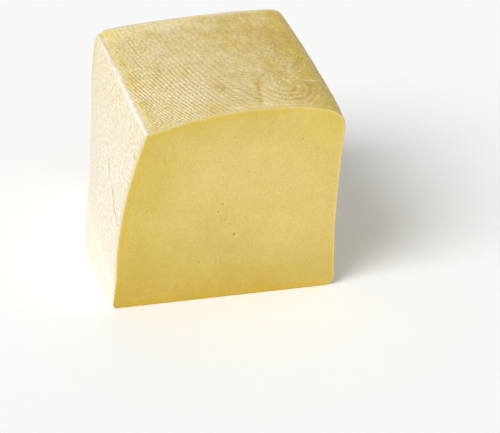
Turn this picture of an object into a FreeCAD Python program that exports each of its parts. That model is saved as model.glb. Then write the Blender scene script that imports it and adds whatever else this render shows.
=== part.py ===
# Half a loaf of tilsit cheese: one solid piece with one cut face.
#
# The loaf was pressed in a cloth-lined mould. Its section is wider than it is
# tall and leans a little: the left wall swells out towards the table, the right
# wall is slightly hollow, and the top is domed. The cut shows that section as
# one flat face. From there the block runs back to the rounded end of the loaf,
# where the walls draw in, mostly at the foot of the left wall.
#
# Frame, in millimetres: +Z up, +X to the right when looking at the cut face,
# +Y from the cut face back into the loaf. The origin is the middle of the
# bounding box at the level of the table. The block stands on its flat bottom.

import FreeCAD, Part
import math
import os

# ---------------------------------------------------------------- main sizes
DEPTH = 177.5            # from the cut face to the loaf's end
END_ROUND = 8.0          # radius all round the loaf's end

# sharp edge between the left wall and the top, at the cut and at the end
LEFT_EDGE_X = (20.4, 23.2)
LEFT_EDGE_Z = (110.4, 110.6)

# where the right wall and the top would meet if they had no rounding
RIGHT_EDGE_X = (141.2, 147.8)
RIGHT_EDGE_Z = (112.6, 114.6)
RIGHT_EDGE_BULGE = 1.2   # how far that edge bows out at mid-depth
RIGHT_EDGE_ROUND = 12.5  # length of its rounding along the top
RIGHT_EDGE_DROP = 0.8    # the same rounding down the wall, as a share

# dome of the top above the straight line between its two edges
DOME_HEIGHT = (8.9, 4.0)
DOME_FULLNESS = 2.3      # a higher power gives a flatter crown
DOME_LEAN = 1.12         # over 1 moves the crown towards the right wall

# left wall: a seam left by the mould runs along it, with the foot below
SEAM_HEIGHT = 19.0
SEAM_HOLLOW = 0.4        # how far the seam bows outwards in the front half
TAPER_START = 68.0       # depth at which the left wall starts to draw in
TAPER = 17.0             # how far it has drawn in at the end
TAPER_POWER = 1.5
FOOT_FLARE = 2.6         # how far the foot stands out below the seam
FOOT_BELLY = 2.0         # extra flare at the widest point
FOOT_POWER = 0.8
WALL_SWELL = 1.85        # power of the left wall's curve at the cut
WALL_LEAN_END = 0.4      # share of straight lean in that wall at the end
WALL_CURL_END = 7.0      # power of its curl into the top edge at the end

# right wall: straight at the foot, then leaning out towards the top
RIGHT_FOOT_X = 134.6
RIGHT_FOOT_BULGE = 1.5
RIGHT_FOOT_TAPER = 2.0
RIGHT_STRAIGHT = 34.0    # height up to which it stays upright
RIGHT_HOLLOW = 1.3       # power of its lean above that

# roundings of the two bottom edges
FOOT_ROUND_LEFT = 3.0
FOOT_ROUND_RIGHT = 7.0

PRESSED_FLAT = 0.4       # depth of the flat that the table has pressed into the bottom

# middle of the section, towards which the loaf's end is rounded in
CORE_X = 76.0
CORE_Z = 58.0
CORE_HALF_WIDTH = 68.0
CORE_HALF_HEIGHT = 58.0

# fineness of the loft
STATIONS_ALONG = 11      # sections from the cut to where the end's rounding starts
STATIONS_ROUND = 7       # sections round the end
POINTS_WALL = 14
POINTS_TOP = 14


# ------------------------------------------------------------ form of the loaf
def clamp(t, low=0.0, high=1.0):
    return max(low, min(high, t))


def along(pair, y):
    """A size that changes evenly from the cut to the end."""
    return pair[0] + (pair[1] - pair[0]) * clamp(y / DEPTH)


def seam_x(y):
    t = clamp((y - TAPER_START) / (DEPTH - END_ROUND - TAPER_START), 0.0, 1.1)
    bow = math.sin(math.pi * clamp(y / 120.0))
    return TAPER * t ** TAPER_POWER - SEAM_HOLLOW * bow


def foot_flare(y):
    belly = math.sin(math.pi * clamp(y / (0.75 * DEPTH))) ** 2
    return FOOT_FLARE + FOOT_BELLY * belly


def left_wall(y, z):
    edge_x, edge_z = along(LEFT_EDGE_X, y), along(LEFT_EDGE_Z, y)
    if z < SEAM_HEIGHT:
        return seam_x(y) - foot_flare(y) * ((SEAM_HEIGHT - z) / SEAM_HEIGHT) ** FOOT_POWER
    u = clamp((z - SEAM_HEIGHT) / (edge_z - SEAM_HEIGHT))
    at_cut = u ** WALL_SWELL
    at_end = WALL_LEAN_END * u + (1.0 - WALL_LEAN_END) * u ** WALL_CURL_END
    s = clamp(y / DEPTH)
    return seam_x(y) + (edge_x - seam_x(y)) * ((1.0 - s) * at_cut + s * at_end)


def right_edge(y):
    bow = RIGHT_EDGE_BULGE * math.sin(math.pi * clamp(y / DEPTH))
    return along(RIGHT_EDGE_X, y) + bow, along(RIGHT_EDGE_Z, y)


def right_wall(y, z):
    s = clamp(y / DEPTH)
    foot = (RIGHT_FOOT_X + RIGHT_FOOT_BULGE * math.sin(math.pi * s)
            - RIGHT_FOOT_TAPER * clamp((s - 0.6) / 0.4) ** 2)
    edge_x, edge_z = right_edge(y)
    t = clamp((z - RIGHT_STRAIGHT) / (edge_z - RIGHT_STRAIGHT))
    return foot + (edge_x - foot) * t ** RIGHT_HOLLOW


def top_point(y, k):
    """A point of the top: k runs from 0 at the left edge to 1 at the right one."""
    x0, z0 = along(LEFT_EDGE_X, y), along(LEFT_EDGE_Z, y)
    x1, z1 = right_edge(y)
    s = clamp(y / DEPTH)
    dome = DOME_HEIGHT[0] + (DOME_HEIGHT[1] - DOME_HEIGHT[0]) * s ** 1.2
    crown = 1.0 - abs(2.0 * k ** DOME_LEAN - 1.0) ** DOME_FULLNESS
    return x0 + (x1 - x0) * k, z0 + (z1 - z0) * k + dome * crown


def end_inset(y):
    """How far the section is drawn in by the rounding of the loaf's end."""
    t = max(0.0, y - (DEPTH - END_ROUND))
    return END_ROUND - math.sqrt(max(END_ROUND ** 2 - t * t, 0.0))


# ------------------------------------------------------------- section wires
def spread(a, b, n, crowd=1.0):
    """n + 1 values from a to b, closer together towards b if crowd is over 1."""
    return [a + (b - a) * (1.0 - (1.0 - i / n) ** crowd) for i in range(n + 1)]


def section_wire(y):
    """The closed outline at depth y, always with the same eight edges."""
    inset = end_inset(y)
    fx = 1.0 - inset / CORE_HALF_WIDTH
    fz = 1.0 - inset / CORE_HALF_HEIGHT

    def place(x, z):
        return FreeCAD.Vector(CORE_X + (x - CORE_X) * fx, y, CORE_Z + (z - CORE_Z) * fz)

    def curve(points):
        line = Part.BSplineCurve()
        line.interpolate([place(x, z) for x, z in points])
        return line.toShape()

    def rounding(a, corner, b):
        bend = Part.BezierCurve()
        bend.setPoles([place(*a), place(*corner), place(*b)])
        return bend.toShape()

    edge_z = along(LEFT_EDGE_Z, y)
    foot = [(left_wall(y, z), z) for z in spread(FOOT_ROUND_LEFT, SEAM_HEIGHT, 4)]
    wall = [(left_wall(y, z), z) for z in spread(SEAM_HEIGHT, edge_z, POINTS_WALL, 1.5)]

    edge_x, corner_z = right_edge(y)
    k_end = 1.0 - RIGHT_EDGE_ROUND / (edge_x - along(LEFT_EDGE_X, y))
    top = [top_point(y, k) for k in spread(0.0, k_end, POINTS_TOP)]
    shoulder_z = corner_z - RIGHT_EDGE_ROUND * RIGHT_EDGE_DROP
    right = [(right_wall(y, z), z) for z in spread(shoulder_z, FOOT_ROUND_RIGHT, POINTS_WALL)]

    corner_left = (left_wall(y, 0.0), 0.0)
    corner_right = (right_wall(y, 0.0), 0.0)
    base_right = (corner_right[0] - FOOT_ROUND_RIGHT, 0.0)
    base_left = (corner_left[0] + FOOT_ROUND_LEFT, 0.0)

    edges = [
        curve(foot),
        curve(wall),
        curve(top),
        rounding(top[-1], (edge_x, corner_z), right[0]),
        curve(right),
        rounding(right[-1], corner_right, base_right),
        Part.LineSegment(place(*base_right), place(*base_left)).toShape(),
        rounding(base_left, corner_left, foot[0]),
    ]
    return Part.Wire(edges)


def depths():
    start_round = DEPTH - END_ROUND
    straight = spread(0.0, start_round - 0.5 * END_ROUND, STATIONS_ALONG) + [start_round]
    turn = [start_round + END_ROUND * math.sin(0.5 * math.pi * i / STATIONS_ROUND)
            for i in range(1, STATIONS_ROUND + 1)]
    return straight + turn


# --------------------------------------------------------------------- solid
def build_block():
    wires = [section_wire(y) for y in depths()]
    loaf = Part.makeLoft(wires, True, False)
    if loaf.Volume < 0:
        loaf.reverse()
    # the weight of the loaf has pressed its underside flat
    room = 2.0 * DEPTH
    above_table = Part.makeBox(room, room, room,
                               FreeCAD.Vector(CORE_X - 0.5 * room, 0.5 * (DEPTH - room), PRESSED_FLAT))
    block = loaf.common(above_table).Solids[0]
    box = block.optimalBoundingBox(False, False)
    block.translate(FreeCAD.Vector(-0.5 * (box.XMin + box.XMax),
                                   -0.5 * (box.YMin + box.YMax),
                                   -PRESSED_FLAT))
    return block


os.makedirs("parts", exist_ok=True)
block = build_block()
box = block.optimalBoundingBox(False, False)
print("solids", len(block.Solids), "faces", len(block.Faces), "valid", block.isValid())
print("volume cm3 %.1f" % (block.Volume / 1000.0))
print("size %.2f x %.2f x %.2f" % (box.XLength, box.YLength, box.ZLength),
      "x %.2f..%.2f y %.2f..%.2f z %.2f..%.2f" % (box.XMin, box.XMax, box.YMin, box.YMax, box.ZMin, box.ZMax))
block.exportStep("parts/cheese_block.step")
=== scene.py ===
import math

import bpy
import numpy as np
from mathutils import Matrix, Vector


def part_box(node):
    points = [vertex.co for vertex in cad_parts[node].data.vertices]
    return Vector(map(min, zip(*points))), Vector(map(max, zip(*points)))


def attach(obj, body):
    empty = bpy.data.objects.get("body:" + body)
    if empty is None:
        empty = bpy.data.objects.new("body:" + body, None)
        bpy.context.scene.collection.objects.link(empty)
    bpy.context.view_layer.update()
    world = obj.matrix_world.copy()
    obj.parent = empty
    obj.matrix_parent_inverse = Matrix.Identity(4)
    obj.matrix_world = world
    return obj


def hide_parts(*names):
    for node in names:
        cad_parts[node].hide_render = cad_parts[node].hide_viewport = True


# Half a loaf of tilsit cheese, as one block with one cut face. The CAD node
# cheese_block is replaced by fine closed meshes that follow the same form:
# the paste with the cut face, and the rind in five pieces that meet edge to
# edge. All lengths below are millimetres in the section's own frame (x across,
# y from the cut into the loaf, z up) until place() turns them into metres.

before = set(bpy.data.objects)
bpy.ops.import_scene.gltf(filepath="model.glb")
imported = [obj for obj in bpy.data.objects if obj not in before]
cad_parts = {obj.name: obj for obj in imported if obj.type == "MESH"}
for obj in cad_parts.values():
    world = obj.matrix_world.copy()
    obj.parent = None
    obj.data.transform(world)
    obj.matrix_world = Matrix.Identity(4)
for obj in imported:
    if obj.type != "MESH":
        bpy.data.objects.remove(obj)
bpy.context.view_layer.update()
node_lo, node_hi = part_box("cheese_block")

# ------------------------------------------------------------ form of the loaf
DEPTH, END_ROUND = 177.5, 8.0
LEFT_EDGE_X, LEFT_EDGE_Z = (20.4, 23.2), (110.4, 110.6)
RIGHT_EDGE_X, RIGHT_EDGE_Z = (141.2, 147.8), (112.6, 114.6)
RIGHT_EDGE_BULGE, RIGHT_EDGE_ROUND, RIGHT_EDGE_DROP = 1.2, 12.5, 0.8
DOME_HEIGHT, DOME_FULLNESS, DOME_LEAN = (8.9, 4.0), 2.3, 1.12
SEAM_HEIGHT, SEAM_HOLLOW = 19.0, 0.4
TAPER_START, TAPER, TAPER_POWER = 68.0, 17.0, 1.5
FOOT_FLARE, FOOT_BELLY, FOOT_POWER = 2.6, 2.0, 0.8
WALL_SWELL, WALL_LEAN_END, WALL_CURL_END = 1.85, 0.4, 7.0
RIGHT_FOOT_X, RIGHT_FOOT_BULGE, RIGHT_FOOT_TAPER = 134.6, 1.5, 2.0
RIGHT_STRAIGHT, RIGHT_HOLLOW = 34.0, 1.3
FOOT_ROUND_LEFT, FOOT_ROUND_RIGHT = 3.0, 7.0
PRESSED_FLAT = 0.4
CORE_X, CORE_Z, CORE_HALF_WIDTH, CORE_HALF_HEIGHT = 76.0, 58.0, 68.0, 58.0
CUT_ROUND = 0.35          # the knife's edge, softened by handling

# fineness of the meshes: cells up a wall, across the top, and along the depth
NS, NT = 260, 290
N_FRONT, N_BODY, N_BACK = 5, 276, 20
NV = N_FRONT + N_BODY + N_BACK


def clamp(t, low=0.0, high=1.0):
    return np.minimum(np.maximum(t, low), high)


def smooth(a, b, t):
    """0 below a, 1 above b, and a soft step between them."""
    t = clamp((np.asarray(t, float) - a) / (b - a))
    return t * t * (3.0 - 2.0 * t)


def bell(d, width):
    return np.exp(-(np.asarray(d, float) / width) ** 2)


def along(pair, y):
    return pair[0] + (pair[1] - pair[0]) * clamp(y / DEPTH)


def seam_x(y):
    t = clamp((y - TAPER_START) / (DEPTH - END_ROUND - TAPER_START), 0.0, 1.1)
    return TAPER * t ** TAPER_POWER - SEAM_HOLLOW * math.sin(math.pi * clamp(y / 120.0))


def left_wall(y, z):
    z = np.asarray(z, float)
    flare = FOOT_FLARE + FOOT_BELLY * math.sin(math.pi * clamp(y / (0.75 * DEPTH))) ** 2
    below = seam_x(y) - flare * clamp((SEAM_HEIGHT - z) / SEAM_HEIGHT) ** FOOT_POWER
    edge_x, edge_z = along(LEFT_EDGE_X, y), along(LEFT_EDGE_Z, y)
    u = clamp((z - SEAM_HEIGHT) / (edge_z - SEAM_HEIGHT))
    at_end = WALL_LEAN_END * u + (1.0 - WALL_LEAN_END) * u ** WALL_CURL_END
    s = clamp(y / DEPTH)
    above = seam_x(y) + (edge_x - seam_x(y)) * ((1.0 - s) * u ** WALL_SWELL + s * at_end)
    return np.where(z < SEAM_HEIGHT, below, above)


def right_edge(y):
    bow = RIGHT_EDGE_BULGE * math.sin(math.pi * clamp(y / DEPTH))
    return along(RIGHT_EDGE_X, y) + bow, along(RIGHT_EDGE_Z, y)


def right_wall(y, z):
    s = clamp(y / DEPTH)
    foot = (RIGHT_FOOT_X + RIGHT_FOOT_BULGE * math.sin(math.pi * s)
            - RIGHT_FOOT_TAPER * clamp((s - 0.6) / 0.4) ** 2)
    edge_x, edge_z = right_edge(y)
    t = clamp((np.asarray(z, float) - RIGHT_STRAIGHT) / (edge_z - RIGHT_STRAIGHT))
    return foot + (edge_x - foot) * t ** RIGHT_HOLLOW


def top_point(y, k):
    x0, z0 = along(LEFT_EDGE_X, y), along(LEFT_EDGE_Z, y)
    x1, z1 = right_edge(y)
    dome = DOME_HEIGHT[0] + (DOME_HEIGHT[1] - DOME_HEIGHT[0]) * clamp(y / DEPTH) ** 1.2
    crown = 1.0 - np.abs(2.0 * k ** DOME_LEAN - 1.0) ** DOME_FULLNESS
    return np.stack([x0 + (x1 - x0) * k, z0 + (z1 - z0) * k + dome * crown], 1)


def bend(a, corner, b, t):
    a, corner, b, t = np.array(a), np.array(corner), np.array(b), t[:, None]
    return (1 - t) ** 2 * a + 2 * t * (1 - t) * corner + t * t * b


def sides(y, inset):
    """The outline at depth y as four lines that meet in the middle of its corners:
    up the left wall, over the top, down the right wall, back along the base."""
    ez = along(LEFT_EDGE_Z, y)
    half, other = np.linspace(0.0, 0.5, 40), np.linspace(0.5, 1.0, 40)
    wall_z = FOOT_ROUND_LEFT + (ez - FOOT_ROUND_LEFT) * np.linspace(0, 1, 500)
    wall = np.stack([left_wall(y, wall_z), wall_z], 1)
    foot_l = (float(left_wall(y, 0.0)), 0.0)
    foot_r = (float(right_wall(y, 0.0)), 0.0)
    in_l, in_r = (foot_l[0] + FOOT_ROUND_LEFT, 0.0), (foot_r[0] - FOOT_ROUND_RIGHT, 0.0)
    x1, z1 = right_edge(y)
    k_end = 1.0 - RIGHT_EDGE_ROUND / (x1 - along(LEFT_EDGE_X, y))
    top = top_point(y, np.linspace(0.0, k_end, 500))
    low = z1 - RIGHT_EDGE_ROUND * RIGHT_EDGE_DROP
    right_z = np.linspace(low, FOOT_ROUND_RIGHT, 400)
    right = np.stack([right_wall(y, right_z), right_z], 1)
    lines = [
        np.concatenate([bend(in_l, foot_l, wall[0], other), wall[1:]]),
        np.concatenate([top, bend(top[-1], (x1, z1), right[0], half)[1:]]),
        np.concatenate([bend(top[-1], (x1, z1), right[0], other), right[1:],
                        bend(right[-1], foot_r, in_r, half)[1:]]),
        np.concatenate([bend(right[-1], foot_r, in_r, other),
                        bend(in_l, foot_l, wall[0], half)]),
    ]
    fx, fz = 1.0 - inset / CORE_HALF_WIDTH, 1.0 - inset / CORE_HALF_HEIGHT
    middle, factor = np.array([CORE_X, CORE_Z]), np.array([fx, fz])
    out = []
    for line in lines:
        line = middle + (line - middle) * factor
        line[:, 1] = np.maximum(line[:, 1], PRESSED_FLAT)
        out.append(line)
    return out


def crowded(n, length, spots):
    """n + 1 shares from 0 to 1, closer together at the given places (mm)."""
    s = np.linspace(0.0, length, 4000)
    density = 1.0 + sum(gain * bell(s - at, width) for at, width, gain in spots)
    total = np.concatenate([[0.0], np.cumsum(0.5 * (density[1:] + density[:-1]) * np.diff(s))])
    return np.interp(np.linspace(0.0, total[-1], n + 1), total, s) / length


UP_LEFT = crowded(NS, 113.0, [(113.0, 2.2, 1.6), (17.6, 2.2, 0.9)])
OVER_TOP = crowded(NT, 132.0, [(0.0, 2.2, 1.6)])
DOWN_RIGHT = np.linspace(0.0, 1.0, NS + 1)
UNDER = np.linspace(0.0, 1.0, NT + 1)

turn = np.linspace(0.0, 0.5 * math.pi, N_FRONT + 1)
front = [(CUT_ROUND * (1 - math.cos(a)), CUT_ROUND * (1 - math.sin(a))) for a in turn]
body_y = CUT_ROUND + (DEPTH - END_ROUND - CUT_ROUND) * crowded(
    N_BODY, DEPTH - END_ROUND - CUT_ROUND, [(0.0, 2.5, 0.8)])
turn = np.linspace(0.0, 0.5 * math.pi, N_BACK + 1)
back = [(DEPTH - END_ROUND + END_ROUND * math.sin(a), END_ROUND * (1 - math.cos(a))) for a in turn]
ROWS = front + [(y, 0.0) for y in body_y[1:]] + back[1:]

ring = np.zeros((NV + 1, 2 * NS + 2 * NT, 3))
for r, (y, inset) in enumerate(ROWS):
    parts = []
    for line, shares in zip(sides(y, inset), (UP_LEFT, OVER_TOP, DOWN_RIGHT, UNDER)):
        reach = np.concatenate([[0.0], np.cumsum(np.hypot(*np.diff(line, axis=0).T))])
        at = shares * reach[-1]
        parts.append(np.stack([np.interp(at, reach, line[:, 0]), np.interp(at, reach, line[:, 1])], 1)[:-1])
    outline = np.concatenate(parts)
    ring[r, :, 0], ring[r, :, 1], ring[r, :, 2] = outline[:, 0], y, outline[:, 1]

# where each side starts on the ring
C_LEFT, C_TOP, C_RIGHT, C_BASE = 0, NS, NS + NT, 2 * NS + NT
COLS = ring.shape[1]

# the shift from the section's frame to the frame of the CAD model
low, high = ring.reshape(-1, 3).min(0), ring.reshape(-1, 3).max(0)
middle_box = np.array([0.5 * (node_lo.x + node_hi.x), 0.5 * (node_lo.y + node_hi.y)]) * 1000.0
SHIFT = np.array([middle_box[0] - 0.5 * (low[0] + high[0]),
                  middle_box[1] - 0.5 * DEPTH,
                  node_lo.z * 1000.0 - PRESSED_FLAT])


def place(points):
    return (np.asarray(points, float) + SHIFT) / 1000.0


# ---------------------------------------------------------------- soft noise
def _hash(ix, iy, seed):
    h = (ix.astype(np.int64) * 374761393 + iy.astype(np.int64) * 668265263 + seed * 1442695041) & 0xFFFFFFFF
    h = ((h ^ (h >> 13)) * 1274126177) & 0xFFFFFFFF
    h = ((h ^ (h >> 16)) * 2246822519) & 0xFFFFFFFF
    return ((h ^ (h >> 15)) & 0xFFFFFFFF) / 4294967296.0


def noise(x, y, seed):
    """Gradient noise, about -1 to 1, with features about 1 across."""
    x, y = np.broadcast_arrays(np.asarray(x, float), np.asarray(y, float))
    ix, iy = np.floor(x), np.floor(y)
    fx, fy = x - ix, y - iy
    wx = fx ** 3 * (fx * (6 * fx - 15) + 10)
    wy = fy ** 3 * (fy * (6 * fy - 15) + 10)

    def corner(dx, dy):
        a = 2 * math.pi * _hash(ix + dx, iy + dy, seed)
        return np.cos(a) * (fx - dx) + np.sin(a) * (fy - dy)

    low_row = corner(0, 0) * (1 - wx) + corner(1, 0) * wx
    high_row = corner(0, 1) * (1 - wx) + corner(1, 1) * wx
    return 1.5 * (low_row * (1 - wy) + high_row * wy)


def layered(x, y, seed, octaves=3, fall=0.5):
    total, size, weight = 0.0, 1.0, 1.0
    for i in range(octaves):
        total = total + weight * noise(x * size, y * size, seed + 17 * i)
        size, weight = size * 2.03, weight * fall
    return total


# ------------------------------------------------------- the ring's own frame
def ring_normals(p):
    across = np.roll(p, -1, 1) - np.roll(p, 1, 1)
    deep = np.empty_like(p)
    deep[1:-1] = p[2:] - p[:-2]
    deep[0], deep[-1] = p[1] - p[0], p[-1] - p[-2]
    n = np.cross(across, deep)
    return n / np.maximum(np.linalg.norm(n, axis=2, keepdims=True), 1e-12)


step = np.linalg.norm(np.roll(ring, -1, 1) - ring, axis=2)
run = np.concatenate([np.zeros((NV + 1, 1)), np.cumsum(step, 1)[:, :-1]], 1)
U = run - run[:, C_TOP:C_TOP + 1]             # mm from the sharp top edge; the left wall is below 0
U_TOP_END = U[:, C_RIGHT:C_RIGHT + 1]         # at the middle of the shoulder
U_FOOT = U[:, C_BASE:C_BASE + 1]              # at the middle of the right foot's rounding
U_START = U[:, 0:1]                           # at the left foot, on the left wall
U_ROUND = U[:, -1:] + step[:, -1:]            # the same place reached the other way round
Y = ring[:, :, 1]
X, Z = ring[:, :, 0], ring[:, :, 2]
depth_run = np.concatenate([[0.0], np.cumsum(np.linalg.norm(np.diff(ring[:, C_TOP + NT // 2], axis=0), axis=1))])
V = np.repeat(depth_run[:, None], COLS, 1)
V_END = depth_run[-1]

on_left = U < 0.0
on_wall_r = smooth(1.0, 26.0, U - U_TOP_END) * (U >= 0)   # 0 on the top, 1 on the right wall
on_base = (smooth(-6.0, 2.0, U - U_FOOT) * (1.0 - 0.0 * U)) * (U >= 0)
to_edge = np.abs(U)                                        # from the sharp top edge
to_left_foot = np.minimum(U - U_START, np.abs(U_ROUND - U))

# ---------------------------------------------- cloth imprint on the top rind
# Threads of the mould's cloth. They run into the loaf, lie closer together and
# slant more towards the cut, and turn in cup-shaped rings near the front right.
THREADS = {(0, 1): 23.57, (0, 2): -15.84, (0, 3): 7.89, (0, 4): -1.83, (1, 0): 43.96, (1, 1): -20.85,
           (1, 2): 6.22, (1, 3): -1.37, (2, 0): -16.66, (2, 1): 12.17, (2, 2): -0.95, (3, 0): 0.37,
           (3, 1): -2.25, (4, 0): 0.92}


def softer_min(a, b, width):
    share = clamp(0.5 + 0.5 * (b - a) / width)
    return b * (1.0 - share) + a * share - width * share * (1.0 - share)


def thread_count(u, v):
    a, b = np.minimum(u, 150.0) / 60.0, v / 100.0
    return sum(k * a ** i * b ** j for (i, j), k in THREADS.items()) + 0.22 * np.maximum(u - 150.0, 0.0)


RING_U, RING_V, RING_WIDE, RING_DEEP = 90.4, 37.4, 4.0, 6.4


def ring_count(u, v):
    return np.sqrt(((u - RING_U) / RING_WIDE) ** 2 + ((v - RING_V) / RING_DEEP) ** 2 + 0.15)


def top_phase(u, v):
    straight = thread_count(u, v)
    rings = float(thread_count(np.array(78.0), 24.0)) + float(ring_count(np.array(78.0), 24.0)) - ring_count(u, v)
    near = smooth(58.0, 76.0, u) * (1.0 - smooth(52.0, 90.0, v)) * (1.0 - smooth(112.0, 140.0, u))
    phase = straight + near * (softer_min(straight, rings, 1.2) - straight)
    return (phase + (0.12 + 0.14 * near) * noise(u / 16.0 + 3.1, v / 24.0, 11)
            + (0.07 + 0.10 * near) * noise(u / 6.0, v / 10.0, 12))


phase = top_phase(U, V)
thread = np.cos(2 * math.pi * phase)
beads = 0.75 + 0.55 * noise(U / 1.9 + 0.3 * V, V / 4.2, 13)
clear = (0.35 + 0.65 * (1.0 - smooth(50.0, 125.0, V))) * clamp(0.80 + 0.5 * noise(U / 15.0, V / 22.0, 31), 0.25, 1.15)
clear = clear * (1.0 - 0.45 * smooth(44.0, 66.0, U)) * (1.0 - 0.70 * smooth(104.0, 116.0, U))
clear = clear + 0.46 * np.exp(-((U - 90.0) / 13.0) ** 2 - ((V - 21.0) / 14.0) ** 2)
clear = clear * (1.0 - 0.50 * np.exp(-((U - 84.0) / 26.0) ** 2 - ((V - 72.0) / 26.0) ** 2))
clear = clear * (1.0 - 0.55 * np.exp(-((U - 88.5) / 10.0) ** 2 - ((V - 46.0) / 11.0) ** 2))
clear = clear * (1.0 - 0.46 * np.exp(-((U - 38.0) / 9.0) ** 2 - ((V - 42.0) / 20.0) ** 2))
clear = clear + 0.40 * np.exp(-((U - 16.0) / 15.0) ** 2 - ((V - 92.0) / 32.0) ** 2)
near_left = (1.0 - smooth(28.0, 50.0, U)) * (1.0 - smooth(55.0, 90.0, V))
across = np.cos(2 * math.pi * ((V + 0.30 * U) / 3.6 + 0.5 * np.floor(phase) + 0.3 * noise(U / 14.0, V / 17.0, 46)))
weave = thread * clear * beads * (1.0 + 0.45 * near_left * across)    # about -1 to 1
streak = layered(U / 2.6, V / 13.0, 41, 2) * smooth(50.0, 110.0, V)
dash = (np.cos(2 * math.pi * (0.205 * (V + 0.75 * U) + 0.35 * noise(U / 9.0, V / 14.0, 45)))
        * clamp(0.5 + 1.1 * noise(U / 5.0, V / 7.0, 44), 0.0, 1.3)
        * smooth(48.0, 60.0, U) * (1.0 - smooth(74.0, 86.0, U)) * (1.0 - smooth(50.0, 80.0, V)))
blot = layered(U / 5.5, V / 10.0, 43, 2) * (0.35 + 0.65 * smooth(40.0, 90.0, U) + 0.5 * smooth(84.0, 98.0, U) * (1.0 - smooth(84.0, 108.0, V)))
grain = noise(U / 1.35, V / 3.0, 51)

# faint cloth of another, finer kind on the left wall
wall_phase = (Z + 0.10 * Y) / 1.85 + 0.5 * noise(Y / 21.0, Z / 21.0, 61)
wall_cross = (Y - 0.12 * Z) / 1.95 + 0.5 * noise(Y / 19.0, Z / 23.0, 62)
wall_weave = 0.5 + 0.25 * np.cos(2 * math.pi * wall_phase) + 0.25 * np.cos(2 * math.pi * wall_cross)
wall_clear = clamp(0.55 + 0.55 * noise(Y / 22.0, Z / 19.0, 63), 0.1, 1.0)

# edges fade the cloth out
fade = (smooth(0.8, 3.2, Y) * (1.0 - smooth(V_END - 4.0, V_END - 0.6, V))
        * smooth(1.3, 3.4, to_edge) * smooth(1.0, 5.0, to_left_foot))
top_height = 0.060 * weave + 0.022 * streak + 0.040 * dash + 0.030 * blot + 0.028 * grain
wall_grain = 0.7 * noise(Y / 4.2, Z / 1.25, 66) + 0.4 * noise(Y / 1.7, Z / 1.0, 67)
wall_height = 0.036 * (wall_weave - 0.5) * wall_clear + 0.040 * wall_grain
height = np.where(on_left, wall_height, top_height * (1.0 - on_wall_r) + 1.4 * wall_height * on_wall_r) * fade
height = height * (1.0 - 0.6 * on_base)

# slow unevenness of the whole skin
slow = np.where(on_left, layered(Y / 42.0 + 7.7, Z / 36.0, 71, 2), layered(U / 40.0, V / 46.0, 72, 2))
height = height + 0.20 * slow * smooth(0.0, 9.0, Y) * (1.0 - smooth(V_END - 10.0, V_END, V)) * smooth(0.0, 9.0, to_edge) * (1.0 - on_base) * smooth(0.0, 12.0, to_left_foot)


# --------------------------------------------------------- marks on the top
def near_line(px, py, a, b):
    """Distance from the line a-b and how far along it, 0 to 1."""
    ax, ay = a
    dx, dy = b[0] - ax, b[1] - ay
    t = ((px - ax) * dx + (py - ay) * dy) / (dx * dx + dy * dy)
    side = ((px - ax) * dy - (py - ay) * dx) / math.hypot(dx, dy)
    return side, t


def band(t, soft=0.15):
    return smooth(-0.5 * soft, soft, t) * (1.0 - smooth(1.0 - soft, 1.0 + 0.5 * soft, t))


on_top = (U >= 0) & (U < U_TOP_END + 8.0)
# stains and darker marks; in the left wall's folds this is painted shade
stain = np.zeros_like(U)
pale = np.zeros_like(U)

# a shallow groove with a lighter lip on its right, near the front
side, t = near_line(X, Y, (90.0, 2.0), (98.4, 48.5))
groove = band(t, 0.22) * on_top * clamp(0.95 + 0.4 * noise(Y / 5.0, 2.7, 86), 0.5, 1.2)
depth_of = 0.60 + 0.40 * smooth(0.50, 0.8, t)
wobble = side + 0.3 * noise(Y / 6.0, X / 9.0, 81)
height = height - 0.40 * groove * depth_of * bell(wobble, 1.5)
height = height + 0.12 * groove * depth_of * bell(wobble - 3.4, 1.6)
stain = stain + 1.10 * groove * depth_of * bell(wobble, 1.8)
pale = pale + 0.16 * groove * (bell(wobble - 3.6, 1.5) + 0.7 * bell(wobble + 3.4, 1.2)) * clamp(0.5 + noise(Y / 3.0, 1.7, 87))

# a small dent left of it
spot = np.exp(-((((X - 74.2) / 3.6) ** 2 + ((Y - 39.5) / 7.5) ** 2) ** 1.5)) * on_top
height = height - 0.26 * spot
stain = stain + 0.80 * spot * clamp(0.9 + 0.5 * noise(X / 3.0, Y / 4.0, 82), 0.3, 1.2)

# a slanted crease further back on the left
side, t = near_line(X, Y, (40.9, 69.0), (49.9, 100.0))
crease = band(t, 0.3) * on_top
height = height - 0.14 * crease * bell(side + 0.6 * noise(Y / 7.0, 0.5, 83), 1.3)
stain = stain + 0.34 * crease * bell(side + 0.6 * noise(Y / 7.0, 0.5, 83), 1.8)

# a thin raised scratch near the right edge
side, t = near_line(X, Y, (125.6, 43.6), (135.2, 45.0))
line = band(t, 0.2) * on_top
height = height + 0.09 * line * bell(side, 0.45)
pale = pale + 0.50 * line * bell(side, 0.48)

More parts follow.
